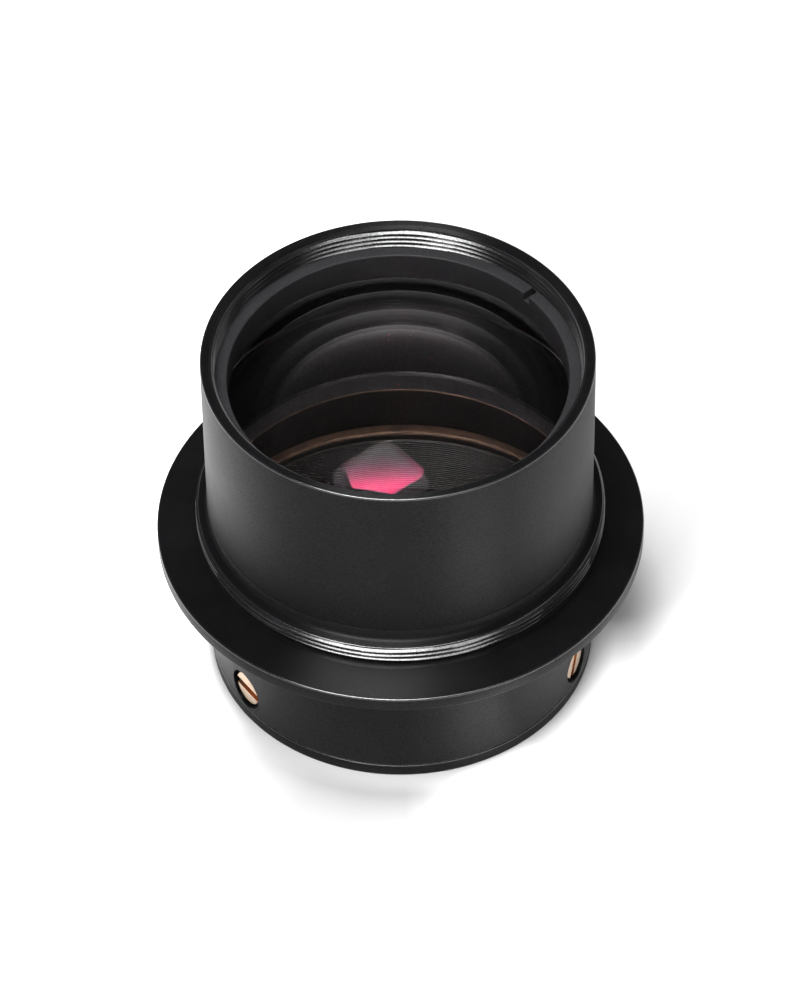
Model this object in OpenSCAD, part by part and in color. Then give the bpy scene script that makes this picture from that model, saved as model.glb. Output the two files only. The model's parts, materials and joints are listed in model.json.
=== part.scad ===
// Two-inch barlow lens: a 50.8 mm push-fit barrel and a flanged drum, with two
// lens groups inside and a turning adapter ring held by three grub screws.
// Millimetres. +Z is the optical axis, pointing out of the barrel's mouth.
// The origin is the centre of the adapter ring's free face.

/* [Barrel] */
// Outside diameter of the push-fit barrel
barrel_d = 50.8; // [50.6:0.05:50.8]
// Length of the barrel, from the seam on the body to the rim
barrel_len = 24.35; // [24.35:0.15:27.95]
// Plain bore between the barrel's two threads, which holds the front lens group
barrel_bore_d = 47.1; // [47:0.05:47.1]
// Nominal diameter of the filter thread in the rim and of the thread at the seam
filter_thread_d = 48; // [48:0.1:48.2]
// Length of the filter thread, in turns
filter_thread_turns = 10; // [10:1:11]

/* [Flange and drum] */
// Outside diameter of the flange
flange_d = 64.4; // [58:0.2:70]
// Thickness of the flange
flange_t = 2; // [1.6:0.1:2]
// Outside diameter of the drum under the flange
drum_d = 51.26; // [51:0.02:52]
// Height of the flange's underside above the adapter ring's free face
drum_h = 20.5; // [20.5:0.1:21]
// Nominal diameter of the mounting thread above the flange
mount_thread_d = 54; // [54:0.5:56]

/* [Adapter ring] */
// Thickness of the adapter ring's flange, which is the lowest band of the drum
adapter_flange_t = 1.85; // [1.5:0.05:1.85]
// Outside diameter of the ring's spigot, which turns in the drum
adapter_spigot_d = 45; // [44.8:0.1:45]
// Nominal diameter of the camera thread in the ring
camera_thread_d = 42; // [42:0.1:42.2]
// Length of the camera thread, in turns
camera_thread_turns = 9; // [7:1:9]

/* [Grub screws] */
// Outside diameter of a grub screw's thread
screw_d = 4.8; // [4.8:0.1:5]
// Height of the screws' axes
screw_z = 5.2; // [5.2:0.1:5.6]
// Depth of a screw's slotted face below the drum's surface
screw_recess = 0.38; // [0.3:0.02:0.5]
// Width of the screwdriver slot
screw_slot_w = 1.15; // [0.8:0.05:1.2]
// Diameter of the counterbore round each screw
screw_sink_d = 5.8; // [5.6:0.1:5.8]

/* [Front lens group] */
// Diameter of the front elements
front_lens_d = 46.9; // [46.6:0.1:46.9]
// Clear opening of the front retaining ring
front_ring_bore_d = 44.1; // [43.9:0.1:44.1]
// Height of the front retaining ring
front_ring_h = 4; // [3.8:0.1:4]
// Depth of the front retaining ring's face below the rim
front_ring_depth = 3.3; // [3.2:0.1:3.4]
// Radius of curvature of the outermost surface, which bulges out
front_r1 = 45; // [44:1:50]
// Radius of curvature of the hollow underside of the outer element
front_r2 = 38.4; // [38.4:0.2:40]
// Radius of curvature of the surface that nests under it
front_r3 = 38; // [37.6:0.1:38]
// Radius of curvature of the group's last surface, which is slightly hollow
front_r4 = 150; // [150:10:300]
// Thickness of the outer element on the axis
front_flint_t = 2.6; // [2.5:0.1:2.8]
// Thickness of the inner element on the axis
front_crown_t = 7.6; // [7.6:0.1:7.8]

/* [Rear lens group] */
// Diameter of the rear elements
rear_lens_d = 36.6; // [36.4:0.1:36.6]
// Clear opening of the rear retaining ring
rear_ring_bore_d = 32.8; // [32.4:0.1:33]
// Radius of curvature of the hollow surface that faces the barrel
rear_r1 = 150; // [140:5:200]
// Radius of curvature of the two surfaces that face each other
rear_r2 = 150; // [140:5:200]
// Radius of curvature of the surface that faces the camera
rear_r3 = 300; // [260:10:400]
// Clear opening of the baffle ring behind the rear group
baffle_bore_d = 30; // [29:0.2:30.4]

/* [Hidden] */
$fn = 180;

// Threads are 60-degree rings at the thread's pitch
pitch = 0.75;
screw_pitch = 0.8;
thread_depth = 0.406;
thread_gap = 0.05;
fit_gap = 0.05;
bevel = 0.15;
past = 1;

// Colours
black = [0.10, 0.10, 0.11];
grey_black = [0.17, 0.17, 0.18];
brass = [0.85, 0.72, 0.50];
dark_brass = [0.30, 0.21, 0.15];
rubber = [0.05, 0.05, 0.05];
white_plastic = [0.85, 0.85, 0.83];
glass = [0.75, 0.80, 0.85, 0.4];

// Heights of the body and of the barrel that screws on to it
drum_z0 = adapter_flange_t + 0.15;
flange_z1 = drum_h + flange_t;
relief_r = 26.3;
relief_z1 = flange_z1 + 1.4;
mount_thread_z0 = flange_z1 + 1.575;
mount_thread_z1 = flange_z1 + 4;
mount_thread_turns = 4;
mount_root_r = mount_thread_d / 2 - 0.46;
neck_z1 = mount_thread_z1 + 1.7;
neck_fillet = 0.5;
root_fillet = 0.72;
seam_gap = 0.05;
barrel_z0 = neck_z1 + seam_gap;
rim_z = barrel_z0 + barrel_len;
seam_turns = 7;
spigot_turns = 6;
spigot_z1 = barrel_z0 + spigot_turns * pitch;
spigot_bore_r = 22.6;

// Front lens group, from the rim down
filter_thread_z0 = rim_z - filter_thread_turns * pitch;
front_ring_z1 = rim_z - front_ring_depth;
front_ring_z0 = front_ring_z1 - front_ring_h;
front_edge_r = 22.3;
front_apex_z = front_ring_z0 + sagitta(front_r1, front_ring_bore_d / 2);
front_hollow_z = front_apex_z - front_flint_t;
front_spacer_z1 = front_hollow_z - sagitta(front_r2, front_edge_r);
front_spacer_t = 0.44;
front_spacer_z0 = front_spacer_z1 - front_spacer_t;
front_nest_z = front_spacer_z0 + sagitta(front_r3, front_edge_r);
front_back_z = front_nest_z - front_crown_t;
front_lens_z0 = front_back_z - sagitta(front_r4, front_edge_r);
gasket_t = 0.4;
front_gasket_z0 = front_lens_z0 - gasket_t;

// Clamp ring, shim and cell flange, from the ledge in the body down
clamp_z1 = 23.9;
clamp_z0 = 21.9;
clamp_bore_r = 21.4;
clamp_thread_d = 45;
clamp_thread_z0 = 21.7;
clamp_thread_turns = 3;
shim_t = 0.4;
shim_bore_r = 20.85;
cell_flange_r = 22;
cell_flange_z1 = clamp_z0 - shim_t;
cell_flange_z0 = 20;
body_bore_r = 21.3;

// Rear lens group in its cell
cell_tube_r = 21;
cell_z0 = 9.1;
throat_r = 20.2;
throat_z0 = 19;
groove_pitch = 0.25;
groove_depth = 0.12;
groove_turns = 9;
rear_thread_d = rear_lens_d + 1.4;
rear_thread_turns = 3;
rear_thread_z0 = throat_z0 - rear_thread_turns * pitch;
rear_ring_z0 = 17.2;
rear_ring_z1 = 18.9;
rear_ring_cone = 0.8;
rear_seat_z = 11.3;
rear_seat_r = 16.6;
rear_flint_z0 = rear_seat_z + gasket_t;
rear_flint_z1 = rear_flint_z0 + 2;
rear_spacer_t = 0.5;
rear_crown_z0 = rear_flint_z1 + rear_spacer_t;
rear_curve_r = 16.2;
baffle_thread_d = 36;
baffle_thread_turns = 2;
baffle_thread_z0 = cell_z0;
baffle_thread_z1 = baffle_thread_z0 + baffle_thread_turns * pitch;
baffle_z0 = cell_z0 + 0.1;
baffle_z1 = baffle_thread_z1 - 0.1;

// Adapter ring in the drum
adapter_z1 = 8.4;
insert_bore_r = adapter_spigot_d / 2 + fit_gap;
insert_shoulder_z = 9;
washer_t = 0.5;
camera_thread_z0 = 0.3;
lock_groove_depth = 0.65;
lock_groove_w = 3.5;

// Grub screws: each azimuth runs from the front (-Y) towards +X, with its slot's tilt
screw_left = [-55, 0];
screw_right = [65, 67];
screw_back = [185, 20];
screw_point_gap = 0.06;
screw_len = (drum_d - adapter_spigot_d) / 2 + lock_groove_depth - screw_recess - screw_point_gap;
screw_thread_depth = 0.43;
screw_thread_turns = 3;
screw_sink_depth = 0.9;
screw_hole_r = screw_d / 2 + fit_gap;
screw_point_r = 1;
screw_cone = 0.7;
screw_head_t = 0.4;
screw_slot_depth = 0.95;

// Depth of a spherical surface of radius r at distance x from its axis
function sagitta(r, x) = r - sqrt(r * r - x * x);

// Outline of a thread from the bottom up, as points [radius, height]. Each turn
// starts and ends on a flat at radius a and reaches radius b between them.
function turns_of(a, b, flat, z0, turns, p) =
    let (flank = abs(b - a) * tan(30))
    [for (i = [0 : turns - 1])
        each [[a, z0 + i * p + flat / 2],
              [b, z0 + i * p + flat / 2 + flank],
              [b, z0 + (i + 1) * p - flat / 2 - flank],
              [a, z0 + (i + 1) * p - flat / 2]]];

// A solid round bar with thread rings; minor and major are its radii
module thread_bar(minor, major, z0, turns, p = pitch) {
    flat = p / 5;
    z1 = z0 + turns * p;
    rotate_extrude()
        polygon(concat([[0, z0], [minor, z0]],
                       turns_of(minor, major, flat, z0, turns, p),
                       [[minor, z1], [0, z1]]));
}

// What a tap cuts out of a female thread
module female_thread(d, z0, turns) {
    thread_bar(d / 2 - thread_depth, d / 2, z0, turns);
}

// The male thread that screws into it, with a small gap all round
module male_thread(d, z0, turns) {
    thread_bar(d / 2 - thread_depth - thread_gap, d / 2 - thread_gap, z0, turns);
}

// A solid disc or drum with broken edges
module disc(r, z0, z1, low = bevel, high = bevel) {
    rotate_extrude()
        polygon([[0, z0], [r - low, z0], [r, z0 + low],
                 [r, z1 - high], [r - high, z1], [0, z1]]);
}

// A plain bore from z0 to z1, or past either end by over
module bore(r, z0, z1, over = past) {
    translate([0, 0, z0 - over])
        cylinder(r = r, h = z1 - z0 + 2 * over);
}

// A cone that chamfers a bore's mouth by c; up is 1 where the mouth faces up
module mouth(r, z, c, up = 1) {
    translate([0, 0, z])
        mirror([0, 0, up > 0 ? 0 : 1])
            translate([0, 0, -c])
                cylinder(r1 = r, r2 = r + 2 * c, h = 2 * c);
}

// A concave ring that blends an upright wall of radius r into the face below it
module cove(r, z, f) {
    rotate_extrude()
        difference() {
            translate([r - past, z - f / 2])
                square([past + f, 1.5 * f]);
            translate([r + f, z + f])
                circle(r = f, $fn = 48);
        }
}

// A plain ring with broken edges
module ring(r_out, r_in, z0, z1) {
    difference() {
        disc(r_out, z0, z1, bevel / 2, bevel / 2);
        bore(r_in, z0, z1);
    }
}

// Two spanner slots across the top of a ring, half a turn apart
module spanner_slots(angle, w, depth, r_in, r_out, z1) {
    for (side = [0, 180])
        rotate([0, 0, angle + side])
            translate([-w / 2, -r_out - past, z1 - depth])
                cube([w, r_out - r_in + 2 * past, depth + past]);
}

// A ball whose top is at height z
module ball_under(r, z) {
    translate([0, 0, z - r])
        sphere(r = r, $fn = 240);
}

// A ball whose lowest point is at height z
module ball_over(r, z) {
    translate([0, 0, z + r])
        sphere(r = r, $fn = 240);
}

// Places what is drawn along +Z at a screw's axis, face outwards, at azimuth a
module at_screw(a, r) {
    rotate([0, 0, a])
        translate([0, -r, screw_z])
            rotate([-90, 0, 0])
                children();
}

module nosepiece_barrel() {
    color(black)
        difference() {
            disc(barrel_d / 2, barrel_z0, rim_z, bevel, 0.25);
            bore(barrel_bore_d / 2, barrel_z0, rim_z);
            female_thread(filter_thread_d, filter_thread_z0, filter_thread_turns);
            female_thread(filter_thread_d, barrel_z0, seam_turns);
        }
}

module front_retaining_ring() {
    bore_r = front_ring_bore_d / 2;
    outer_r = filter_thread_d / 2;
    color(grey_black)
        difference() {
            intersection() {
                male_thread(filter_thread_d, filter_thread_z0, filter_thread_turns);
                disc(outer_r, front_ring_z0, front_ring_z1, bevel, bevel);
            }
            bore(bore_r, front_ring_z0, front_ring_z1);
            mouth(bore_r, front_ring_z1, bevel);
            spanner_slots(-50, 1, 1.3, bore_r, outer_r, front_ring_z1);
        }
}

module front_flint_lens() {
    color(glass)
        difference() {
            intersection() {
                bore(front_lens_d / 2, front_spacer_z1, front_apex_z, 0);
                ball_under(front_r1, front_apex_z);
            }
            ball_under(front_r2, front_hollow_z);
        }
}

module front_lens_spacer() {
    color(black)
        ring(front_lens_d / 2, front_edge_r + fit_gap, front_spacer_z0, front_spacer_z1);
}

module front_crown_lens() {
    color(glass)
        difference() {
            union() {
                bore(front_lens_d / 2, front_lens_z0, front_spacer_z0, 0);
                intersection() {
                    bore(front_edge_r, front_lens_z0, front_nest_z, 0);
                    ball_under(front_r3, front_nest_z);
                }
            }
            ball_under(front_r4, front_back_z);
        }
}

module front_seat_gasket() {
    color(rubber)
        ring(barrel_bore_d / 2 - fit_gap, spigot_bore_r, front_gasket_z0, front_lens_z0);
}

module front_spacer_ring() {
    color(black)
        ring(barrel_bore_d / 2 - fit_gap, spigot_bore_r, spigot_z1, front_gasket_z0);
}

module flange_body() {
    color(black)
        difference() {
            union() {
                disc(drum_d / 2, drum_z0, drum_h + past);
                disc(flange_d / 2, drum_h, flange_z1, 0.25, 0.25);
                bore(relief_r, flange_z1 - past, relief_z1, 0);
                cove(relief_r, flange_z1, root_fillet);
                intersection() {
                    thread_bar(mount_root_r, mount_thread_d / 2,
                               mount_thread_z0, mount_thread_turns);
                    bore(mount_thread_d / 2 + past, relief_z1, mount_thread_z1, 0);
                }
                bore(mount_root_r, relief_z1, mount_thread_z1, 0);
                disc(barrel_d / 2, mount_thread_z1 - past, neck_z1);
                cove(barrel_d / 2, mount_thread_z1, neck_fillet);
                male_thread(filter_thread_d, barrel_z0, spigot_turns);
                bore(filter_thread_d / 2 - thread_depth - thread_gap, neck_z1 - past, spigot_z1, 0);
            }
            bore(insert_bore_r, drum_z0, insert_shoulder_z - past);
            mouth(insert_bore_r, drum_z0, bevel, -1);
            bore(body_bore_r, insert_shoulder_z, cell_flange_z0);
            bore(cell_flange_r + fit_gap, cell_flange_z0, clamp_z0, 0);
            female_thread(clamp_thread_d, clamp_thread_z0, clamp_thread_turns);
            bore(spigot_bore_r, clamp_thread_z0 + clamp_thread_turns * pitch, spigot_z1 + past, 0);
            for (screw = [screw_left, screw_right, screw_back])
                at_screw(screw[0], drum_d / 2)
                    translate([0, 0, -past]) {
                        cylinder(r = screw_hole_r, h = drum_d / 2 - insert_bore_r + 2 * past, $fn = 48);
                        cylinder(r = screw_sink_d / 2, h = screw_sink_depth + past, $fn = 48);
                    }
        }
}

module cell_clamp_ring() {
    color(grey_black)
        difference() {
            intersection() {
                male_thread(clamp_thread_d, clamp_thread_z0, clamp_thread_turns);
                disc(clamp_thread_d / 2, clamp_z0, clamp_z1, bevel, bevel);
            }
            bore(clamp_bore_r, clamp_z0, clamp_z1);
            mouth(clamp_bore_r, clamp_z1, bevel / 2);
            spanner_slots(80, 1, 0.8, clamp_bore_r, clamp_thread_d / 2, clamp_z1);
        }
}

module cell_shim_ring() {
    color(dark_brass)
        ring(cell_flange_r, shim_bore_r, cell_flange_z1, clamp_z0);
}

module rear_lens_cell() {
    color(black)
        difference() {
            union() {
                disc(cell_flange_r, cell_flange_z0, cell_flange_z1);
                disc(cell_tube_r, cell_z0, cell_flange_z1 - past / 2);
            }
            bore(throat_r, throat_z0, cell_flange_z1 + past, 0);
            thread_bar(throat_r - groove_depth, throat_r + groove_depth, throat_z0,
                       groove_turns, groove_pitch);
            female_thread(rear_thread_d, rear_thread_z0, rear_thread_turns);
            bore(rear_lens_d / 2 + fit_gap, rear_seat_z, rear_thread_z0 + past, 0);
            bore(rear_seat_r, baffle_thread_z1, rear_seat_z);
            female_thread(baffle_thread_d, baffle_thread_z0, baffle_thread_turns);
            mouth(baffle_thread_d / 2, cell_z0, bevel, -1);
        }
}

module rear_retaining_ring() {
    bore_r = rear_ring_bore_d / 2;
    color(dark_brass)
        difference() {
            intersection() {
                male_thread(rear_thread_d, rear_thread_z0, rear_thread_turns);
                disc(rear_thread_d / 2, rear_ring_z0, rear_ring_z1, bevel, bevel);
            }
            bore(bore_r, rear_ring_z0, rear_ring_z1);
            mouth(bore_r, rear_ring_z1, rear_ring_cone);
            spanner_slots(95, 1, 0.8, bore_r, rear_thread_d / 2, rear_ring_z1);
        }
}

module rear_crown_lens() {
    color(glass)
        difference() {
            bore(rear_lens_d / 2, rear_crown_z0, rear_ring_z0, 0);
            ball_over(rear_r1, rear_ring_z0 - sagitta(rear_r1, rear_curve_r));
            ball_under(rear_r2, rear_crown_z0 + sagitta(rear_r2, rear_curve_r));
        }
}

module rear_lens_spacer() {
    color(black)
        ring(rear_lens_d / 2, rear_curve_r + 0.5, rear_flint_z1, rear_crown_z0);
}

module rear_flint_lens() {
    apex = rear_flint_z1 + sagitta(rear_r2, rear_curve_r);
    color(glass)
        difference() {
            union() {
                bore(rear_lens_d / 2, rear_flint_z0, rear_flint_z1, 0);
                intersection() {
                    bore(rear_curve_r + 0.2, rear_flint_z0, apex, 0);
                    ball_under(rear_r2, apex);
                }
            }
            ball_under(rear_r3, rear_flint_z0 + sagitta(rear_r3, rear_curve_r));
        }
}

module rear_seat_gasket() {
    color(rubber)
        ring(rear_lens_d / 2, rear_seat_r, rear_seat_z, rear_flint_z0);
}

module rear_baffle_ring() {
    bore_r = baffle_bore_d / 2;
    color(black)
        difference() {
            intersection() {
                male_thread(baffle_thread_d, baffle_thread_z0, baffle_thread_turns);
                disc(baffle_thread_d / 2, baffle_z0, baffle_z1, bevel, bevel);
            }
            bore(bore_r, baffle_z0, baffle_z1);
            mouth(bore_r, baffle_z1, 1);
            spanner_slots(20, 1, 0.5, bore_r, baffle_thread_d / 2, baffle_z1);
        }
}

module rear_adapter_ring() {
    spigot_r = adapter_spigot_d / 2;
    bottom_w = lock_groove_w - 2 * lock_groove_depth;
    color(black)
        difference() {
            union() {
                disc(drum_d / 2, 0, adapter_flange_t, 0.25, bevel);
                disc(spigot_r, adapter_flange_t - past, adapter_z1);
            }
            rotate_extrude()
                polygon([[spigot_r - lock_groove_depth, screw_z - bottom_w / 2],
                         [spigot_r + past, screw_z - bottom_w / 2 - lock_groove_depth - past],
                         [spigot_r + past, screw_z + bottom_w / 2 + lock_groove_depth + past],
                         [spigot_r - lock_groove_depth, screw_z + bottom_w / 2]]);
            bore(camera_thread_d / 2 - thread_depth, 0, adapter_z1);
            female_thread(camera_thread_d, camera_thread_z0, camera_thread_turns);
            mouth(camera_thread_d / 2, 0, bevel, -1);
        }
}

module adapter_slip_washer() {
    color(white_plastic)
        ring(adapter_spigot_d / 2 - fit_gap, camera_thread_d / 2, insert_shoulder_z - washer_t,
             insert_shoulder_z);
}

// A slotted grub screw at [azimuth, slot tilt], with a blunt conical point
module grub_screw(place) {
    r = screw_d / 2;
    core_r = r - screw_thread_depth;
    color(brass)
        at_screw(place[0], drum_d / 2 - screw_recess)
            difference() {
                union() {
                    intersection() {
                        thread_bar(core_r, r, 0, screw_thread_turns, screw_pitch);
                        disc(r, 0, screw_thread_turns * screw_pitch);
                    }
                    disc(r, 0, screw_head_t);
                    cylinder(r = screw_point_r + screw_cone, h = screw_len - screw_cone);
                    translate([0, 0, screw_len - screw_cone])
                        cylinder(r1 = screw_point_r + screw_cone, r2 = screw_point_r, h = screw_cone);
                }
                rotate([0, 0, -place[1]])
                    translate([-r - past, -screw_slot_w / 2, -past])
                        cube([2 * (r + past), screw_slot_w, screw_slot_depth + past]);
            }
}

module grub_screw_left() {
    grub_screw(screw_left);
}

module grub_screw_right() {
    grub_screw(screw_right);
}

module grub_screw_back() {
    grub_screw(screw_back);
}

nosepiece_barrel();
front_retaining_ring();
front_flint_lens();
front_lens_spacer();
front_crown_lens();
front_seat_gasket();
front_spacer_ring();
flange_body();
cell_clamp_ring();
cell_shim_ring();
rear_lens_cell();
rear_retaining_ring();
rear_crown_lens();
rear_lens_spacer();
rear_flint_lens();
rear_seat_gasket();
rear_baffle_ring();
rear_adapter_ring();
adapter_slip_washer();
grub_screw_left();
grub_screw_right();
grub_screw_back();
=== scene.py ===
import json
import math

import bmesh
import bpy
from mathutils import Matrix, Vector


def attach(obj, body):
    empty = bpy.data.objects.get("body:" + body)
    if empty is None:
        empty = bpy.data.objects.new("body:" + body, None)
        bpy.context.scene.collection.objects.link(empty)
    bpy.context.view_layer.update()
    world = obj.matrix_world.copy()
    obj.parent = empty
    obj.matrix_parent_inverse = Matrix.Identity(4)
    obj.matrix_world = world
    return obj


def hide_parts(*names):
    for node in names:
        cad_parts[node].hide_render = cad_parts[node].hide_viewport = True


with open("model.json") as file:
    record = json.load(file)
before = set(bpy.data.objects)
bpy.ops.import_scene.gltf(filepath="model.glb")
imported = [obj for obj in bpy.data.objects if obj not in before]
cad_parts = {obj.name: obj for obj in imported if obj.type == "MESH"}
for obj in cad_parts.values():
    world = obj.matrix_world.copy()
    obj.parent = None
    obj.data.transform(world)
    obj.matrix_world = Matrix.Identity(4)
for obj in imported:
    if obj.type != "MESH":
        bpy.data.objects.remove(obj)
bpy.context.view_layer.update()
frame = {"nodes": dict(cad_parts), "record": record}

MM = 0.001
MICRON = 1e-6
SEGMENTS = 384
ON_AXIS = 1e-6
PITCH = 0.75
nodes = frame["nodes"]
node_slot = {part["node"]: part["material_slot"] for part in frame["record"]["subparts"]}


# ---------------------------------------------------------------- shader helpers
class Shader:
    """A material with a Principled shader, and short calls that add nodes to it."""

    def __init__(self, name):
        self.mat = bpy.data.materials.new(name)
        self.mat.use_nodes = True
        self.nt = self.mat.node_tree
        self.bsdf = self.nt.nodes["Principled BSDF"]
        self.out = self.nt.nodes["Material Output"]

    def add(self, kind, props=None, **inputs):
        """Adds a node. An input is named by its label with _ for spaces, or by its place as i0, i1."""
        node = self.nt.nodes.new(kind)
        for key, value in (props or {}).items():
            setattr(node, key, value)
        for key, value in inputs.items():
            by_place = key[0] == "i" and key[1:].isdigit()
            self.feed(node.inputs[int(key[1:]) if by_place else key.replace("_", " ")], value)
        return node

    def feed(self, socket, value):
        if isinstance(value, bpy.types.NodeSocket):
            self.nt.links.new(value, socket)
        else:
            socket.default_value = value

    def set(self, **inputs):
        for key, value in inputs.items():
            self.feed(self.bsdf.inputs[key.replace("_", " ")], value)

    def math(self, op, a, b=0.0):
        return self.add("ShaderNodeMath", {"operation": op}, i0=a, i1=b).outputs[0]

    def place(self):
        """Where the point is, in the object's own metres."""
        return self.add("ShaderNodeTexCoord").outputs["Object"]

    def polar(self):
        """The point as (radius, height, 0), so that noise on it draws turned rings."""
        x, y, z = self.add("ShaderNodeSeparateXYZ", Vector=self.place()).outputs
        radius = self.math("SQRT", self.math("ADD", self.math("POWER", x, 2.0), self.math("POWER", y, 2.0)))
        return self.add("ShaderNodeCombineXYZ", X=radius, Y=z).outputs[0]

    def noise(self, vector, scale, detail=2.0, rough=0.5):
        return self.add("ShaderNodeTexNoise", Vector=vector, Scale=scale, Detail=detail,
                        Roughness=rough).outputs["Fac"]

    def ramp(self, fac, lo, hi, out_lo, out_hi):
        return self.add("ShaderNodeMapRange", Value=fac, From_Min=lo, From_Max=hi, To_Min=out_lo,
                        To_Max=out_hi).outputs["Result"]

    def mix(self, fac, a, b):
        node = self.add("ShaderNodeMix", {"data_type": "RGBA"}, i0=fac)
        self.feed(node.inputs[6], a)
        self.feed(node.inputs[7], b)
        return node.outputs[2]

    def bump(self, height, distance, normal=None):
        node = self.add("ShaderNodeBump", Height=height, Strength=1.0, Distance=distance)
        if normal is not None:
            self.feed(node.inputs["Normal"], normal)
        return node.outputs["Normal"]


def rgb(r, g, b):
    return (r, g, b, 1.0)


def steps(node, stops):
    """Sets a colour ramp node's stops from (place, grey or colour) pairs and gives its output."""
    ramp = node.color_ramp
    while len(ramp.elements) > 1:
        ramp.elements.remove(ramp.elements[-1])
    for i, (place, value) in enumerate(stops):
        element = ramp.elements.new(place) if i else ramp.elements[0]
        element.position = place
        element.color = rgb(*value) if isinstance(value, tuple) else rgb(value, value, value)
    return node.outputs["Color"]


def anodised(name, dark, light, rough, ring_um, grain_um, stretch, specular):
    """Turned and anodised aluminium: fine rings from the tool, a fine grain and faint blotches.

    dark and light are the colours it varies between; ring_um and grain_um are heights in microns.
    """
    s = Shader(name)
    polar, place = s.polar(), s.place()
    rings = s.noise(polar, 7000.0, 3.0, 0.6)
    broad = s.noise(polar, 900.0, 2.0)
    grain = s.noise(place, 14000.0, 2.0, 0.7)
    blotch = s.noise(place, 110.0, 4.0, 0.6)
    speck = s.ramp(s.noise(place, 2600.0, 1.0), 0.70, 0.80, 0.0, 0.35)
    worn = s.math("ADD", s.ramp(blotch, 0.35, 0.7, 0.0, 0.7), s.math("MULTIPLY", rings, 0.3))
    tone = s.mix(speck, s.mix(worn, rgb(*dark), rgb(*light)), rgb(*(2.2 * c for c in light)))
    spread = s.math("MULTIPLY", s.math("ADD", blotch, broad), 0.06)
    sparkle = s.noise(place, 5200.0, 1.0)
    s.set(Base_Color=tone, Roughness=s.math("ADD", spread, rough - 0.05), IOR=1.47,
          Specular_IOR_Level=s.ramp(sparkle, 0.3, 0.7, 0.68 * specular, 1.32 * specular),
          Anisotropic=stretch, Anisotropic_Rotation=0.25)
    s.set(Tangent=s.add("ShaderNodeTangent", {"direction_type": "RADIAL", "axis": "Z"}).outputs[0])
    s.set(Normal=s.bump(grain, grain_um * MICRON, s.bump(rings, ring_um * MICRON)))
    return s.mat


def brass(name, bright, dull, rough):
    """Turned brass with concentric tool rings and a faint tarnish."""
    s = Shader(name)
    polar, place = s.polar(), s.place()
    rings = s.noise(polar, 9000.0, 3.0, 0.6)
    tarnish = s.noise(place, 700.0, 4.0, 0.6)
    s.set(Base_Color=s.mix(s.ramp(tarnish, 0.35, 0.75, 0.0, 1.0), rgb(*bright), rgb(*dull)), Metallic=1.0,
          Roughness=s.ramp(rings, 0.3, 0.7, rough - 0.06, rough + 0.08))
    s.set(Normal=s.bump(rings, 1.2 * MICRON))
    return s.mat


def glass(name, body, mirror, ior, painted_reflection_by_y=None):
    """Coated optical glass. Lamps shine through it, so that they light what is behind it.

    mirror tints what the coating reflects. A coating given place by place across the glass instead,
    as (millimetres along Y, tint) pairs, is a painted reflection: it sets where the mirrored lamp shows
    strong and faint.
    """
    s = Shader(name)
    dust = s.noise(s.place(), 1800.0, 3.0, 0.65)
    smear = s.noise(s.place(), 55.0, 3.0)
    s.set(Base_Color=rgb(*body), Roughness=0.0, IOR=ior, Transmission_Weight=1.0, Specular_Tint=rgb(*mirror))
    if painted_reflection_by_y:
        # painted reflection: the coating's tint follows the place along Y
        y = s.add("ShaderNodeSeparateXYZ", Vector=s.place()).outputs[1]
        lo, hi = painted_reflection_by_y[0][0], painted_reflection_by_y[-1][0]
        stops = [((mm - lo) / (hi - lo), tint) for mm, tint in painted_reflection_by_y]
        along = s.add("ShaderNodeValToRGB", Fac=s.ramp(y, lo * MM, hi * MM, 0.0, 1.0))
        s.set(Specular_Tint=steps(along, stops))
    lamp = s.add("ShaderNodeLightPath").outputs["Is Shadow Ray"]
    clear = s.add("ShaderNodeBsdfTransparent", Color=rgb(*body)).outputs[0]
    haze = s.add("ShaderNodeBsdfDiffuse", Color=rgb(0.75, 0.74, 0.76)).outputs[0]
    film = s.math("MULTIPLY", s.ramp(dust, 0.55, 0.8, 0.0, 0.002), s.ramp(smear, 0.3, 0.7, 0.3, 1.0))
    dusty = s.add("ShaderNodeMixShader", i0=film, i1=s.bsdf.outputs[0], i2=haze).outputs[0]
    both = s.add("ShaderNodeMixShader", i0=lamp, i1=dusty, i2=clear).outputs[0]
    s.feed(s.out.inputs["Surface"], both)
    return s.mat


def soft(name, colour, light, rough, scale, depth_um):
    """Rubber, plastic or paint: a mottled colour with a fine surface."""
    s = Shader(name)
    place = s.place()
    mottle = s.noise(place, scale * 0.2, 3.0)
    fine = s.noise(place, scale, 3.0, 0.6)
    s.set(Base_Color=s.mix(s.ramp(mottle, 0.3, 0.7, 0.0, 1.0), rgb(*colour), rgb(*light)),
          Roughness=s.ramp(fine, 0.3, 0.7, rough - 0.05, rough + 0.08), Specular_IOR_Level=0.4)
    s.set(Normal=s.bump(fine, depth_um * MICRON))
    return s.mat
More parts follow.
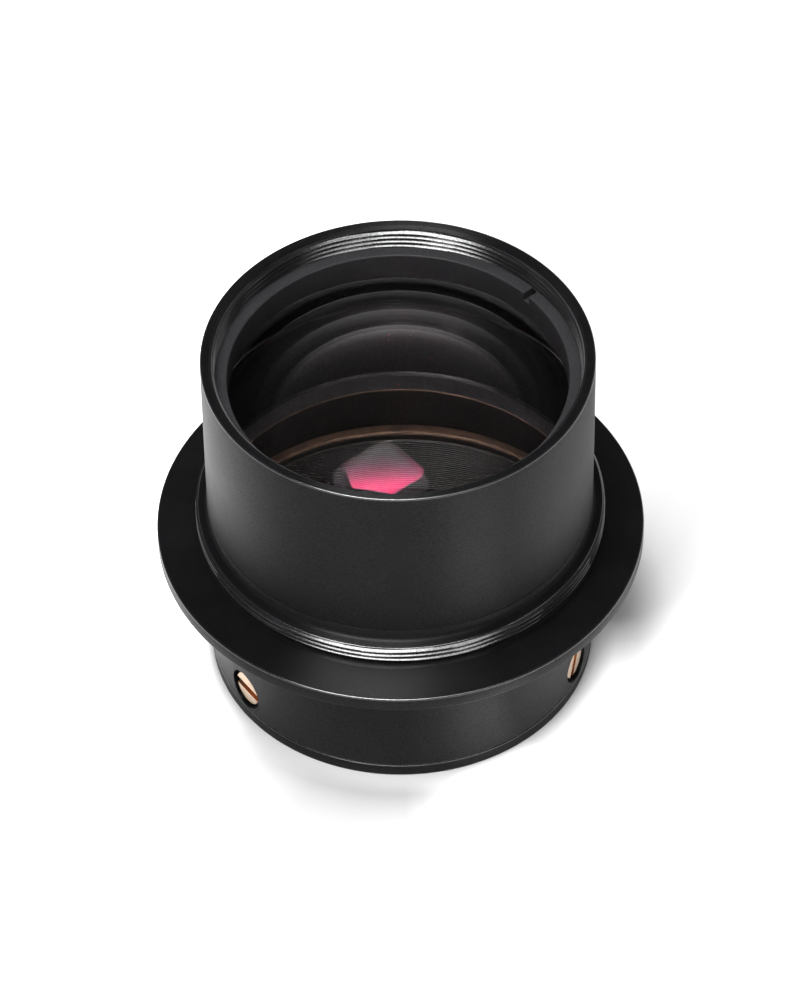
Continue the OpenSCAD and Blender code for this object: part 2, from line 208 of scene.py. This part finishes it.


# painted reflection: what the inner coatings reflect, strong pink towards the front and faint behind, as
# (millimetres along Y, tint) pairs
COATING_AND_PAINTED_REFLECTION = [(-16, (0.95, 0.062, 0.20)), (-14.9, (0.40, 0.052, 0.125)), (-13.9, (0.16, 0.027, 0.065)),
           (-12.9, (0.048, 0.018, 0.031)), (-11.8, (0.016, 0.010, 0.013)), (-10.5, (0.016, 0.009, 0.012)),
           (-8.5, (0.05, 0.034, 0.042)), (-4, (0.105, 0.072, 0.09)), (4, (0.13, 0.092, 0.114))]
MATS = {
    "anodised_black": anodised("anodised black", (0.0028, 0.0028, 0.0031), (0.0055, 0.0055, 0.006),
                               rough=0.31, ring_um=0.5, grain_um=0.30, stretch=1.0, specular=0.15),
    "thread_black": anodised("thread flanks", (0.005, 0.005, 0.0055), (0.010, 0.010, 0.011),
                             rough=0.17, ring_um=0.3, grain_um=0.15, stretch=0.0, specular=1.0),
    "anodised_ring": anodised("blasted ring", (0.013, 0.013, 0.0142), (0.018, 0.018, 0.0196),
                              rough=0.58, ring_um=0.6, grain_um=2.2, stretch=0.1, specular=0.28),
    "matt_black_inside": anodised("matt inside", (0.010, 0.0088, 0.008), (0.018, 0.0155, 0.014),
                                  rough=0.40, ring_um=1.2, grain_um=0.8, stretch=0.3, specular=0.40),
    "wall_black": anodised("bore wall", (0.0034, 0.0030, 0.0028), (0.0056, 0.0049, 0.0046),
                           rough=0.45, ring_um=0.8, grain_um=0.6, stretch=0.5, specular=0.1),
    "groove_black": anodised("grooved throat", (0.003, 0.0028, 0.0027), (0.0055, 0.005, 0.0047),
                             rough=0.40, ring_um=1.2, grain_um=0.8, stretch=0.3, specular=0.11),
    "clamp_grey": anodised("clamp face", (0.005, 0.005, 0.0055), (0.007, 0.007, 0.0076),
                           rough=0.55, ring_um=0.6, grain_um=2.0, stretch=0.1, specular=0.15),
    "coated_glass": glass("outer element", (0.985, 0.975, 0.98), (0.029, 0.025, 0.031), 1.61),
    # painted reflection: the two inner coatings take their tint from their place along Y
    "outer_under": glass("outer element underside", (0.985, 0.975, 0.98), (0.1, 0.08, 0.09), 1.61, COATING_AND_PAINTED_REFLECTION),
    "inner_glass": glass("inner element", (0.985, 0.97, 0.965), (0.1, 0.08, 0.09), 1.52,
                         [(mm + 0.3, tuple(1.2 * c for c in tint)) for mm, tint in COATING_AND_PAINTED_REFLECTION]),
    "rear_coated_glass": glass("rear element", (0.98, 0.965, 0.97), (0.9, 0.18, 0.28), 1.6),
    "blackened_brass": brass("blackened brass", (0.048, 0.031, 0.022), (0.022, 0.0155, 0.012), 0.58),
    "screw_brass": brass("screw brass", (0.52, 0.40, 0.30), (0.44, 0.33, 0.24), 0.45),
    # painted light: the slot faces get a deeper orange brass that stands in for light bouncing inside the
    # slot
    "slot_brass_painted_bounce": brass("brass in the slot", (0.62, 0.30, 0.13), (0.48, 0.20, 0.07), 0.5),
    "seal_rubber": soft("seal rubber", (0.012, 0.012, 0.012), (0.022, 0.022, 0.021), 0.62, 3000.0, 3.0),
    "slip_plastic": soft("slip plastic", (0.74, 0.74, 0.70), (0.82, 0.82, 0.79), 0.38, 2000.0, 1.5),
    "edge_paint": soft("edge paint", (0.050, 0.048, 0.049), (0.075, 0.072, 0.073), 0.55, 4000.0, 2.0),
}


# ---------------------------------------------------------------- turned shapes
def sag(radius, x):
    return radius - math.sqrt(radius * radius - x * x)


def dome(radius, apex, rim_r, n=72):
    """Points along a sphere that has its top at apex, from the axis to the distance rim_r."""
    return [(rim_r * i / n, apex - sag(radius, rim_r * i / n)) for i in range(n + 1)]


def rounded(points, closed=True, arc_steps=5):
    """Replaces each corner (r, z, f) by an arc of radius f. Points without f stay as they are."""
    made = []
    n = len(points)
    for i, point in enumerate(points):
        f = point[2] if len(point) > 2 else 0
        if not f or (not closed and i in (0, n - 1)):
            made.append((point[0], point[1]))
            continue
        p = Vector(point[:2])
        a = (Vector(points[i - 1][:2]) - p).normalized()
        b = (Vector(points[(i + 1) % n][:2]) - p).normalized()
        half = a.angle(b) / 2
        centre = p + (a + b).normalized() * f / math.sin(half)
        start = p + a * f / math.tan(half) - centre
        end = p + b * f / math.tan(half) - centre
        for k in range(arc_steps + 1):
            made.append(tuple(centre + start.slerp(end, k / arc_steps).normalized() * f))
    return made


def clamped(x):
    return min(1.0, max(0.0, x))


def wave(t):
    """A thread's outline over one turn: 0 on the root, 1 on the crest, with short flats."""
    root_flat, flank, softening = 0.09, 0.82, 0.03
    tri = 1 - abs(2 * (t - math.floor(t)) - 1)
    x = clamped((tri - root_flat) / flank)
    return x - softening * math.sin(2 * math.pi * x)


def thread(z_from, z_to, root, depth, fade_from, fade_to, per_turn=14):
    """Profile points (root, z, depth function) for a helical thread between two heights.

    depth is the crest's height off the root, negative where it points to the axis. The thread
    rises from the root over the heights fade_from and fade_to at its two ends.
    """
    count = round(abs(z_to - z_from) / PITCH * per_turn)

    def off(z, turn):
        ease = min(clamped(abs(z - z_from) / fade_from), clamped(abs(z_to - z) / fade_to))
        return depth * wave(z / PITCH - turn) * ease

    return [(root, z_from + (z_to - z_from) * i / count, off) for i in range(count + 1)]


def smooth(mesh, angle):
    mesh.shade_smooth()
    mesh.set_sharp_from_angle(angle=math.radians(angle))


def show(name, mesh):
    obj = bpy.data.objects.new(name, mesh)
    bpy.context.scene.collection.objects.link(obj)
    return obj


def revolve(name, profile, closed=True, segments=SEGMENTS, angle=32.0):
    """Turns a profile of (r, z) or (r, z, off) points round the axis into a smooth mesh."""
    verts, faces, first = [], [], []
    for point in profile:
        r, z = point[:2]
        off = point[2] if len(point) > 2 else None
        first.append(len(verts))
        if r < ON_AXIS:
            verts.append((0.0, 0.0, z * MM))
            continue
        for k in range(segments):
            turn = k / segments
            a = 2 * math.pi * turn
            rr = r + (off(z, turn) if off else 0.0)
            verts.append((rr * math.cos(a) * MM, rr * math.sin(a) * MM, z * MM))
    n = len(profile)
    for i in range(n if closed else n - 1):
        j = (i + 1) % n
        a0, b0 = first[i], first[j]
        pole_a, pole_b = profile[i][0] < ON_AXIS, profile[j][0] < ON_AXIS
        for k in range(segments):
            m = (k + 1) % segments
            if pole_a and pole_b:
                break
            if pole_a:
                faces.append((a0, b0 + m, b0 + k))
            elif pole_b:
                faces.append((a0 + k, a0 + m, b0))
            else:
                faces.append((a0 + k, a0 + m, b0 + m, b0 + k))
    mesh = bpy.data.meshes.new(name)
    mesh.from_pydata(verts, [], faces)
    bm = bmesh.new()
    bm.from_mesh(mesh)
    bmesh.ops.recalc_face_normals(bm, faces=bm.faces)
    bm.to_mesh(mesh)
    bm.free()
    smooth(mesh, angle)
    return show(name, mesh)


def block(matrix):
    """A box cutter: a unit cube placed and sized by a matrix."""
    mesh = bpy.data.meshes.new("cutter")
    bm = bmesh.new()
    bmesh.ops.create_cube(bm, size=1.0)
    bm.to_mesh(mesh)
    bm.free()
    obj = show("cutter", mesh)
    obj.matrix_world = matrix
    return obj


def turned(angle):
    return Matrix.Rotation(math.radians(angle), 4, "Z")


def size_matrix(x, y, z):
    """Scales a unit cube to these millimetres."""
    return Matrix.Diagonal((x * MM, y * MM, z * MM, 1))


def take_away(obj, cutters, angle=32.0):
    """Cuts the cutters out of obj and removes them."""
    bpy.context.view_layer.update()
    for cutter in cutters:
        mod = obj.modifiers.new("cut", "BOOLEAN")
        mod.operation, mod.solver, mod.object = "DIFFERENCE", "EXACT", cutter
    dg = bpy.context.evaluated_depsgraph_get()
    mesh = bpy.data.meshes.new_from_object(obj.evaluated_get(dg))
    obj.modifiers.clear()
    old = obj.data
    obj.data = mesh
    bpy.data.meshes.remove(old)
    for cutter in cutters:
        bpy.data.objects.remove(cutter)
    smooth(mesh, angle)


def finish_piece(obj, node, body="lens_body", look=None):
    """Gives a piece its material, lets it ride on its body and stand for its CAD node."""
    slot = node_slot[node]
    obj.data.materials.clear()
    obj.data.materials.append(MATS[look or slot])
    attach(obj, body)
    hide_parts(node)
    return obj


def paint(obj, look, test):
    """Gives another material to the faces whose centre (radius, height in mm) passes the test."""
    obj.data.materials.append(MATS[look])
    last = len(obj.data.materials) - 1
    for poly in obj.data.polygons:
        x, y, z = poly.center
        if test(math.hypot(x, y) / MM, z / MM):
            poly.material_index = last


# ---------------------------------------------------------------- the CAD's own nodes
for name, obj in nodes.items():
    obj.data.materials.clear()
    obj.data.materials.append(MATS[node_slot[name]])
    smooth(obj.data, 30)


# ---------------------------------------------------------------- barrel with the filter thread
# Sizes from here on are millimetres, with heights from the adapter ring's free face.
BARREL_R = 25.4
RIM = 52.6
BARREL_Z0 = 28.25
RING_Z0, RING_BORE_R = 45.3, 22.05
THREAD_DEPTH = 0.406

rim_edge = rounded([(23.9, BARREL_Z0), (BARREL_R, BARREL_Z0, 0.06), (BARREL_R, RIM, 0.22), (24.28, RIM, 0.05),
                    (23.98, 52.28)], closed=False)
barrel_bore = [(24.0, 45.1), (23.55, 45.0), (23.55, 33.6), (24.0, 33.5), (24.0, 28.35), (24.1, BARREL_Z0)]
barrel = revolve("barrel", rim_edge[1:] + thread(52.26, 48.9, 24.0, -THREAD_DEPTH, 0.35, 0.2) + barrel_bore)
finish_piece(barrel, "nosepiece_barrel")
paint(barrel, "thread_black",
      lambda r, z: (48.8 < z < 52.3 and r < 24.1) or (z > RIM - 0.3 and r > BARREL_R - 0.3))


# ---------------------------------------------------------------- rings and the front lenses
def slotted_ring(node, name, r_out, r_in, z0, z1, chamfer, slot_angle, slot_w, slot_depth):
    """A ring with two spanner slots across its top; slot_angle runs from the front towards +X."""
    ring = revolve(name, rounded([(r_out, z0, 0.05), (r_out, z1, 0.05), (r_in + chamfer, z1, 0.02),
                                  (r_in, z1 - chamfer, 0.02), (r_in, z0, 0.05)]))
    over = 1
    across = Matrix.Translation((0, -(r_in + r_out) / 2 * MM, (z1 + (over - slot_depth) / 2) * MM))
    blade = across @ size_matrix(slot_w, r_out - r_in + over, slot_depth + over)
    take_away(ring, [block(turned(a) @ blade) for a in (slot_angle, slot_angle + 180)])
    return finish_piece(ring, node)


def plain_ring(node, name, r_out, r_in, z0, z1, edge=0.05):
    profile = rounded([(r_out, z0, edge), (r_out, z1, edge), (r_in, z1, edge), (r_in, z0, edge)])
    finish_piece(revolve(name, profile), node)


def lens(node, name, top, bottom, look, edge):
    """A lens from its top and bottom profiles, both from the axis out, and its painted edge."""
    obj = revolve(name, top + edge + bottom[::-1], closed=False, segments=256, angle=20.0)
    finish_piece(obj, node, look=look)
    paint(obj, "edge_paint", lambda r, z: r > bottom[-1][0])
    return obj


slotted_ring("front_retaining_ring", "retaining_ring", 23.97, RING_BORE_R, RING_Z0, 49.3, 0.14, -50, 1.0, 1.3)

EDGE_R, LENS_R = 22.3, 23.45
R1, R2, R3, R4 = 45, 38.4, 38, 150
APEX = RING_Z0 + sag(R1, RING_BORE_R)
HOLLOW = APEX - 2.6
SPACER_TOP = HOLLOW - sag(R2, EDGE_R)
SPACER_LOW = SPACER_TOP - 0.44
NEST = SPACER_LOW + sag(R3, EDGE_R)
BACK = NEST - 7.6
SEAT = BACK - sag(R4, EDGE_R)
GASKET_Z0 = SEAT - 0.4
SPIGOT_TOP = 32.75

outer_element = lens("front_flint_lens", "outer_element", dome(R1, APEX, LENS_R), dome(R2, HOLLOW, EDGE_R),
                     "coated_glass", [(LENS_R, SPACER_TOP)])
paint(outer_element, "outer_under", lambda r, z: r < EDGE_R and z < HOLLOW - sag(R2, r) + 0.2)
lens("front_crown_lens", "inner_element", dome(R3, NEST, EDGE_R), dome(R4, BACK, EDGE_R, 40),
     "inner_glass", [(LENS_R, SPACER_LOW), (LENS_R, SEAT)])
plain_ring("front_seat_gasket", "seat_gasket", 23.5, 22.6, GASKET_Z0, SEAT)
plain_ring("front_spacer_ring", "spacer_ring", 23.5, 22.6, SPIGOT_TOP, GASKET_Z0)
plain_ring("front_lens_spacer", "lens_spacer", LENS_R, 22.35, SPACER_LOW, SPACER_TOP, 0.04)

# ---------------------------------------------------------------- grub screws' places
DRUM_R = 25.63
SCREW_Z, SCREW_RECESS = 5.2, 0.38
SLOT_W, SLOT_DEPTH = 1.15, 0.95
# each screw's azimuth from the front towards +X, and its slot's tilt
SCREWS = {"left": (-55, 0), "right": (65, 67), "back": (185, 20)}


def at_screw(theta, radius):
    """A frame on a screw's axis with its own +Z pointing outwards."""
    t = math.radians(theta)
    out = Vector((math.sin(t), -math.cos(t), 0))
    side = Vector((math.cos(t), math.sin(t), 0))
    rot = Matrix((side, Vector((0, 0, 1)), out)).transposed().to_4x4()
    return Matrix.Translation(out * radius * MM + Vector((0, 0, SCREW_Z * MM))) @ rot


def screw_hole(theta):
    """What the drill and the counterbore take away, from inside the drum outwards."""
    hole_r, sink_r, sink_z = 2.45, 2.9, -0.9
    profile = [(0, -4.2), (hole_r, -4.2), (hole_r, sink_z - 0.1), (hole_r + 0.1, sink_z), (sink_r, sink_z),
               (sink_r, -0.1), (sink_r + 0.1, 0.04), (3.4, 1.5), (0, 1.5)]
    obj = revolve("cutter", profile, closed=False, segments=96)
    obj.matrix_world = at_screw(theta, DRUM_R)
    return obj


# ---------------------------------------------------------------- body with its flange
FLANGE_R, FLANGE_Z0, FLANGE_Z1 = 32.2, 20.5, 22.5
drum = rounded([(22.7, 2.0), (DRUM_R, 2.0, 0.15), (DRUM_R, FLANGE_Z0, 0.12), (FLANGE_R, FLANGE_Z0, 0.22),
                (FLANGE_R, FLANGE_Z1, 0.22), (26.3, FLANGE_Z1, 0.7), (26.3, 23.9, 0.1), (26.5, 23.98)],
               closed=False)
mounting_thread = thread(24.0, 26.3, 26.56, 0.44, 0.25, 0.12)
neck = rounded([(26.66, 26.42), (26.6, 26.5, 0.05), (BARREL_R, 26.5, 0.5), (BARREL_R, 28.2, 0.06),
                (23.9, 28.2)], closed=False)
body_bore = [(23.9, SPIGOT_TOP - 0.1), (23.8, SPIGOT_TOP), (22.65, SPIGOT_TOP), (22.6, SPIGOT_TOP - 0.05),
             (22.6, 24.0), (22.45, 23.9), (22.45, 21.6), (22.05, 21.5), (22.05, 20.0), (21.3, 20.0),
             (21.3, 9.0), (22.55, 9.0), (22.55, 2.15)]
body = revolve("flanged_body", drum + mounting_thread + neck + body_bore)
take_away(body, [screw_hole(theta) for theta, tilt in SCREWS.values()])
finish_piece(body, "flange_body")
paint(body, "thread_black",
      lambda r, z: ((23.95 < z < 26.45 and r > 26.4) or (z > FLANGE_Z1 - 0.3 and r > FLANGE_R - 0.25)
                    or (z < 2.2 and r > DRUM_R - 0.23)))

# ---------------------------------------------------------------- rear cell and the rings on it
CLAMP_TOP, CLAMP_R, SHIM_TOP, SHIM_R, CELL_TOP = 23.95, 21.4, 21.9, 20.82, 21.5
clamp = slotted_ring("cell_clamp_ring", "clamp_ring", 22.42, CLAMP_R, SHIM_TOP, CLAMP_TOP, 0.04, 80, 1.0, 0.8)
paint(clamp, "wall_black", lambda r, z: r < CLAMP_R + 0.02 and z < CLAMP_TOP - 0.05)
paint(clamp, "blackened_brass", lambda r, z: r < CLAMP_R + 0.05 and z > CLAMP_TOP - 0.05)
paint(clamp, "clamp_grey", lambda r, z: r > CLAMP_R + 0.05 and z > CLAMP_TOP - 0.05)
shim = revolve("shim_ring", rounded([(22.0, CELL_TOP, 0.04), (22.0, SHIM_TOP, 0.04), (SHIM_R, SHIM_TOP, 0.18),
                                     (SHIM_R, CELL_TOP, 0.04)]))
finish_piece(shim, "cell_shim_ring")
paint(shim, "wall_black", lambda r, z: r < SHIM_R + 0.08 and z < SHIM_TOP - 0.12)


def throat_grooves():
    """Fine grooves that narrow the cell's throat step by step, from the top down."""
    spacing, taper, count = 0.088, 0.041, 24
    points = []
    for i in range(count):
        r, z = 20.74 - i * taper, CELL_TOP - 0.03 - i * spacing
        points += [(r + 0.018, z), (r - 0.03, z - 0.35 * spacing)]
    return points


cell_outside = rounded([(21.0, 9.1, 0.1), (21.0, 20.0), (22.0, 20.0, 0.1), (22.0, CELL_TOP, 0.1),
                        (20.8, CELL_TOP)])
cell_inside = [(19.75, 19.2), (19.7, 18.95), (18.6, 18.9), (18.6, 16.75), (18.35, 16.7), (18.35, 11.3),
               (16.6, 11.3), (16.6, 10.6), (17.6, 10.55), (17.6, 9.2), (17.8, 9.1)]
cell = revolve("lens_cell", cell_outside + throat_grooves() + cell_inside, angle=25.0)
finish_piece(cell, "rear_lens_cell")
paint(cell, "groove_black", lambda r, z: 18.9 < z < 21.49 and r < 20.85)

# ---------------------------------------------------------------- adapter ring and grub screws
SPIGOT_R, LOCK_R, LOCK_W, LOCK_FLOOR_W = 22.5, 21.85, 3.5, 2.2
spigot = rounded([(21.25, 0.0), (DRUM_R, 0.0, 0.22), (DRUM_R, 1.85, 0.12), (SPIGOT_R, 1.85),
                  (SPIGOT_R, SCREW_Z - LOCK_W / 2, 0.05), (LOCK_R, SCREW_Z - LOCK_FLOOR_W / 2, 0.05),
                  (LOCK_R, SCREW_Z + LOCK_FLOOR_W / 2, 0.05), (SPIGOT_R, SCREW_Z + LOCK_W / 2, 0.05),
                  (SPIGOT_R, 8.4, 0.12), (20.7, 8.4, 0.08), (20.62, 8.2), (20.62, 7.3)], closed=False)
adapter = revolve("adapter_ring", spigot + thread(7.2, 0.3, 21.0, -THREAD_DEPTH, 0.3, 0.2))
finish_piece(adapter, "rear_adapter_ring", "adapter")
paint(adapter, "thread_black",
      lambda r, z: (z < 7.2 and r < 21.1) or (r > DRUM_R - 0.18 and (z > 1.7 or z < 0.25)))


def grub_screw(which):
    """A slotted screw with a blunt conical point. Its own +Z points out of the drum."""
    theta, tilt = SCREWS[which]
    r, core, shank, point, tip_z = 2.4, 1.98, 1.7, 1.0, -3.34
    turns = [(r, -0.45), (core, -0.7), (core, -0.85), (r, -1.1), (r, -1.25), (core, -1.5), (core, -1.65),
             (r, -1.9), (r, -2.2), (core, -2.4)]
    profile = rounded([(0, 0), (r, 0, 0.15)] + turns
                      + [(shank, -2.4), (shank, -2.64, 0.05), (point, tip_z, 0.08), (0, tip_z)], closed=False)
    obj = revolve("grub_screw_" + which + "_shaped", profile, closed=False, segments=128)
    take_away(obj, [block(turned(tilt) @ size_matrix(8, SLOT_W, 2 * SLOT_DEPTH))])
    obj.matrix_world = at_screw(theta, DRUM_R - SCREW_RECESS)
    finish_piece(obj, "grub_screw_" + which, "screw_" + which)
    # painted light: deeper orange brass on the slot faces for the light bouncing inside the slot
    obj.data.materials.append(MATS["slot_brass_painted_bounce"])
    upright = turned(-tilt)
    for poly in obj.data.polygons:
        spot = upright @ poly.center / MM
        if abs(spot.y) < SLOT_W / 2 + 0.01 and -SLOT_DEPTH - 0.01 < spot.z < -0.02:
            poly.material_index = 1


for which in SCREWS:
    grub_screw(which)


# ---------------------------------------------------------------- floor
def flat_mesh(name, points):
    """A face of the stage."""
    mesh = bpy.data.meshes.new(name)
    mesh.from_pydata(points, [], [tuple(range(len(points)))])
    obj = show(name, mesh)
    return obj


# Painted light: how bright the floor looks in the metal, against the metal's angle from the front towards +X.
# Up to PAPER_WHITE it is painted into the paper's colour, and above it a painted glow that also lightens the
# shadow.
PAPER_PAINTED_LIGHT = [(-150, 0.8), (-110, 0.9), (-84, 1.5), (-78, 1.62), (-70, 1.87), (-60, 1.52), (-50, 1.2), (-40, 0.76),
         (-30, 0.6), (-20, 0.5), (-10, 0.5), (0, 0.54), (10, 0.85), (20, 1.6), (27, 1.66), (34, 1.05),
         (40, 1.12), (50, 1.2), (60, 1.05), (70, 0.79), (78, 0.62), (84, 0.6), (110, 0.8), (150, 0.8)]
PAPER_SPAN, PAPER_PEAK, PAPER_WHITE, PAPER_LIGHT = 150, 2.0, 0.65, 2.1
FLOOR_HALF = 6


def floor_with_painted_light():
    """Pale paper that is plain far from the object. Round it, painted light: its colour and glow vary with
    direction so the metal mirrors bright and dark bands.
    """
    corners = ((-1, -1), (1, -1), (1, 1), (-1, 1))
    floor = flat_mesh("floor", [(x * FLOOR_HALF, y * FLOOR_HALF, 0) for x, y in corners])
    paper = Shader("floor with painted light")
    x, y, z = paper.add("ShaderNodeSeparateXYZ", Vector=paper.place()).outputs
    radius = paper.add("ShaderNodeVectorMath", {"operation": "LENGTH"}, i0=paper.place()).outputs["Value"]
    turn = paper.math("ARCTAN2", x, paper.math("MULTIPLY", y, -1.0))
    # the further out a spot lies, the more its direction exceeds that of the metal that mirrors it
    metal_turn = paper.math("DIVIDE", turn, paper.ramp(radius, 0.032, 0.065, 1.22, 1.62))
    span = math.radians(PAPER_SPAN)
    stops = [((angle + PAPER_SPAN) / (2 * PAPER_SPAN), tone / PAPER_PEAK) for angle, tone in PAPER_PAINTED_LIGHT]
    table = paper.add("ShaderNodeValToRGB", Fac=paper.ramp(metal_turn, -span, span, 0.0, 1.0))
    tone = paper.math("MULTIPLY", steps(table, stops), PAPER_PEAK)
    painted_light_zone = paper.math("MULTIPLY", paper.ramp(radius, 0.0255, 0.029, 0.0, 1.0),
                         paper.ramp(radius, 0.085, 0.13, 1.0, 0.0))
    # painted glow: tone above PAPER_WHITE shines from the paper itself and lightens the shadow there
    over = paper.math("MAXIMUM", paper.math("SUBTRACT", tone, PAPER_WHITE), 0.0)
    painted_tone = paper.math("MINIMUM", tone, PAPER_WHITE)
    paper.set(Base_Color=paper.mix(painted_light_zone, rgb(0.8, 0.8, 0.8), painted_tone), Roughness=0.9, Specular_IOR_Level=0.1,
              Emission_Color=rgb(1.0, 1.0, 1.0),
              Emission_Strength=paper.math("MULTIPLY", paper.math("MULTIPLY", over, PAPER_LIGHT), painted_light_zone))
    floor.data.materials.append(paper.mat)


# ---------------------------------------------------------------- light
def softbox(name, corners, height, strength):
    """A flat soft light of any outline, facing down. The corners are slopes off the zenith."""
    uneven = 0.06
    obj = flat_mesh(name, [(x * height, y * height, height) for x, y in corners])
    glow = Shader(name)
    fabric = glow.noise(glow.place(), 12.0, 2.0)
    light = glow.add("ShaderNodeEmission", Color=rgb(1.0, 1.0, 1.0),
                     Strength=glow.ramp(fabric, 0.3, 0.7, strength * (1 - uneven), strength))
    glow.feed(glow.out.inputs["Surface"], light.outputs[0])
    obj.data.materials.append(glow.mat)


# the room's brightness against the sine of the elevation
SKY_HEIGHT = [(0.0, 1.0), (0.25, 1.0), (0.31, 0.55), (0.38, 0.2), (0.5, 0.09), (0.75, 0.04), (1.0, 0.02)]


def studio_world():
    """The room: a pale band at the horizon with darkness above it."""
    world = bpy.data.worlds.new("studio")
    bpy.context.scene.world = world
    world.use_nodes = True
    room = Shader.__new__(Shader)
    room.nt = world.node_tree
    direction = room.add("ShaderNodeTexCoord").outputs["Generated"]
    z = room.add("ShaderNodeSeparateXYZ", Vector=direction).outputs[2]
    background = room.nt.nodes["Background"]
    background.inputs["Color"].default_value = rgb(1.0, 1.0, 1.0)
    room.feed(background.inputs["Strength"], steps(room.add("ShaderNodeValToRGB", Fac=z), SKY_HEIGHT))


floor_with_painted_light()
softbox("softbox_main", [(-0.385, 0.045), (-0.06, 0.185), (0.158, -0.048), (0.146, -0.10), (-0.05, -0.225),
                         (-0.32, -0.155)], 0.9, 17.0)
softbox("softbox_core", [(-0.315, -0.10), (-0.13, -0.045), (0.055, -0.15), (-0.05, -0.222),
                         (-0.31, -0.153)], 0.89, 30.0)
softbox("softbox_front", [(-0.52, -0.24), (0.13, -0.26), (0.13, -0.68), (-0.52, -0.68)], 0.88, 17.0)
softbox("softbox_side", [(0.15, -0.27), (0.52, -0.24), (0.52, -0.70), (0.15, -0.70)], 0.88, 6.0)
studio_world()


# ---------------------------------------------------------------- camera and picture
def aim_camera(place, down, roll, focal_mm):
    """A camera that faces +Y, tilted down and rolled by these degrees."""
    tilt, roll = math.radians(down), math.radians(roll)
    forward = Vector((0, math.cos(tilt), -math.sin(tilt)))
    right = Vector((1, 0, 0))
    up = right.cross(forward)
    side = right * math.cos(roll) + up * math.sin(roll)
    top = up * math.cos(roll) - right * math.sin(roll)
    camera = bpy.data.objects.new("camera", bpy.data.cameras.new("camera"))
    bpy.context.scene.collection.objects.link(camera)
    camera.data.sensor_width = 36
    camera.data.lens = focal_mm
    camera.data.clip_start, camera.data.clip_end = 0.01, 20
    camera.matrix_world = Matrix.Translation(place) @ Matrix((side, top, -forward)).transposed().to_4x4()
    bpy.context.scene.camera = camera


aim_camera((0, -0.47476, 0.52777), 46.53, -0.95, 190.982)

scene = bpy.context.scene
scene.view_settings.view_transform = "Standard"
scene.view_settings.look = "None"
scene.cycles.max_bounces = 24
scene.cycles.transmission_bounces = 24
scene.cycles.glossy_bounces = 12
scene.cycles.transparent_max_bounces = 24
scene.cycles.caustics_reflective = False
scene.cycles.caustics_refractive = False
scene.cycles.blur_glossy = 0.0
scene.cycles.use_denoising = True
